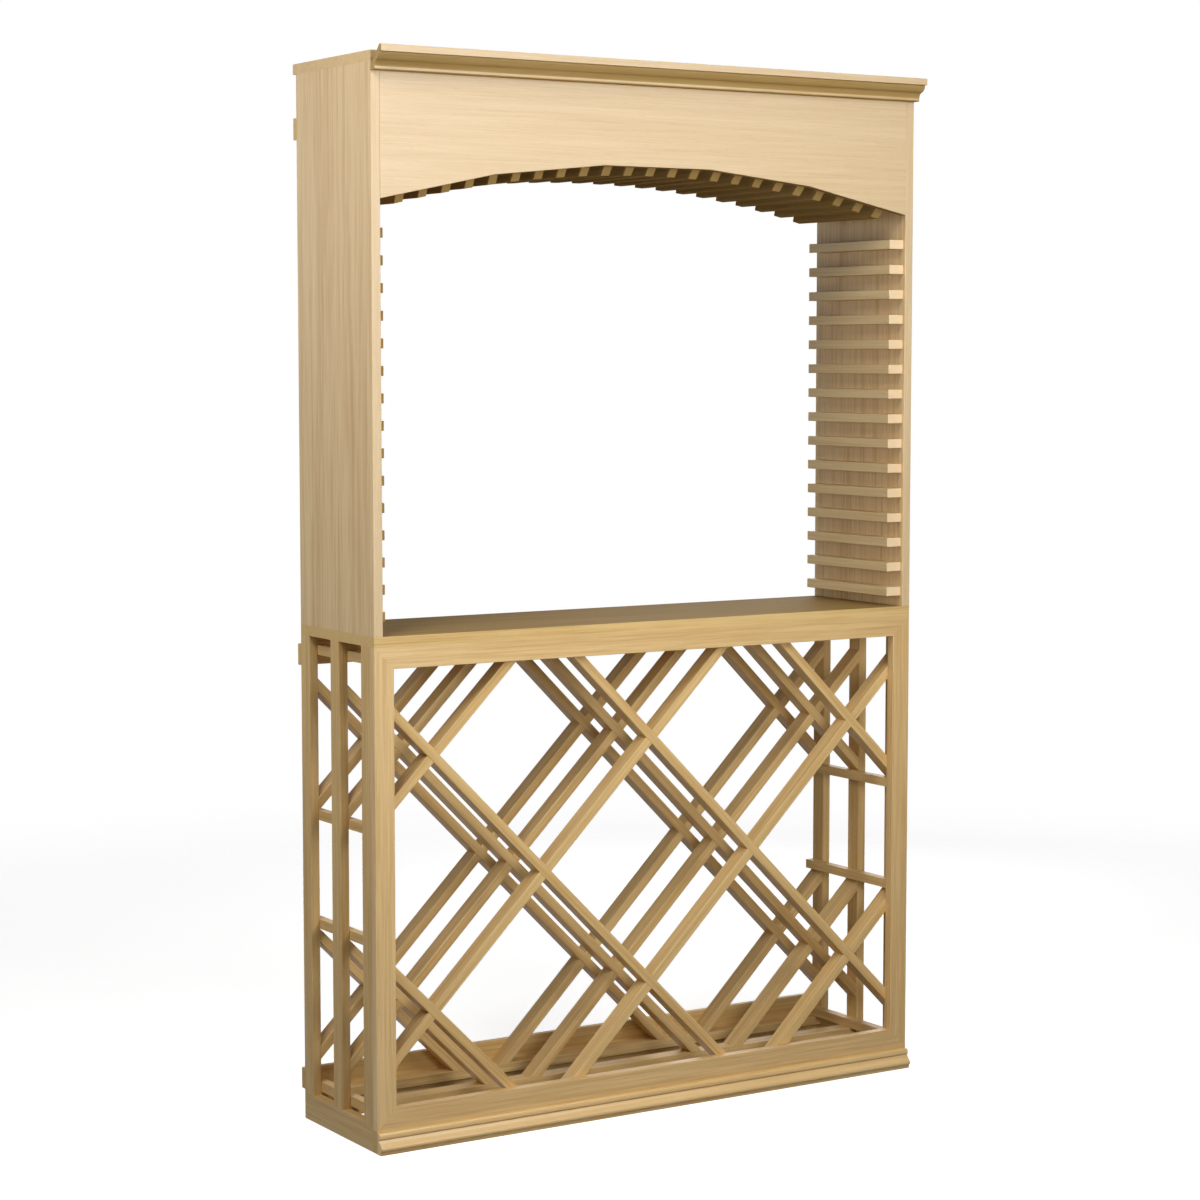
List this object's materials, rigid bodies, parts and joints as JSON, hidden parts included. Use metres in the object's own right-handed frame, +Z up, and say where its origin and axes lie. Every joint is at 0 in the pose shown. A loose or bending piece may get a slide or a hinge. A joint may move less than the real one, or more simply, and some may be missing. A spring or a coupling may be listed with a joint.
{
  "type": "wine tasting station",
  "caption": "Tall pale-wood bar unit: a diamond lattice bin below a table top, and an open display bay above with slatted sides, an arched slatted head and a crown moulding.",
  "frame": {"origin": "on the floor, in the middle of the overall width and depth", "axes": "+X to the right seen from the front, +Y to the rear (the wall), +Z up"},
  "size_m": [1.165, 0.3378, 1.9125],
  "materials": {
    "board_wood": "satin, fine straight grain",
    "stick_wood": "satin, fine straight grain",
    "moulding_wood": "satin, fine straight grain",
    "screw_steel": "zinc plated"
  },
  "bodies": {
    "root": {"arch_board_rear": "board_wood", "arch_board_screws": "screw_steel", "arch_rib_front": "board_wood", "arch_slats": "stick_wood", "base_moulding": "moulding_wood", "bottom_stretcher_front": "stick_wood", "bottom_stretcher_middle": "stick_wood", "bottom_stretcher_rear": "stick_wood", "crown_blocks": "board_wood", "crown_moulding": "moulding_wood", "face_rail_bottom": "moulding_wood", "face_rail_top": "moulding_wood", "face_stile_left": "moulding_wood", "face_stile_right": "moulding_wood", "lattice_falling_1": "stick_wood", "lattice_falling_2": "stick_wood", "lattice_falling_3": "stick_wood", "lattice_falling_4": "stick_wood", "lattice_rising_1": "stick_wood", "lattice_rising_2": "stick_wood", "lattice_rising_3": "stick_wood", "lattice_rising_4": "stick_wood", "plinth_front": "board_wood", "plinth_left": "board_wood", "plinth_rear": "board_wood", "plinth_right": "board_wood", "post_left_front": "stick_wood", "post_left_middle": "stick_wood", "post_left_rear": "stick_wood", "post_right_front": "stick_wood", "post_right_middle": "stick_wood", "post_right_rear": "stick_wood", "side_battens_left": "stick_wood", "side_battens_right": "stick_wood", "side_panel_left": "board_wood", "side_panel_right": "board_wood", "side_rail_left_bottom": "stick_wood", "side_rail_left_lower": "stick_wood", "side_rail_left_top": "stick_wood", "side_rail_left_upper": "stick_wood", "side_rail_right_bottom": "stick_wood", "side_rail_right_lower": "stick_wood", "side_rail_right_top": "stick_wood", "side_rail_right_upper": "stick_wood", "table_top": "board_wood", "top_board": "board_wood", "top_stretcher_front": "stick_wood", "top_stretcher_middle": "stick_wood", "top_stretcher_rear": "stick_wood", "valance": "board_wood", "wall_cleat_lower": "board_wood", "wall_cleat_table": "board_wood", "wall_cleat_upper": "board_wood", "wood_screws": "screw_steel"}
  },
  "joints": []
}
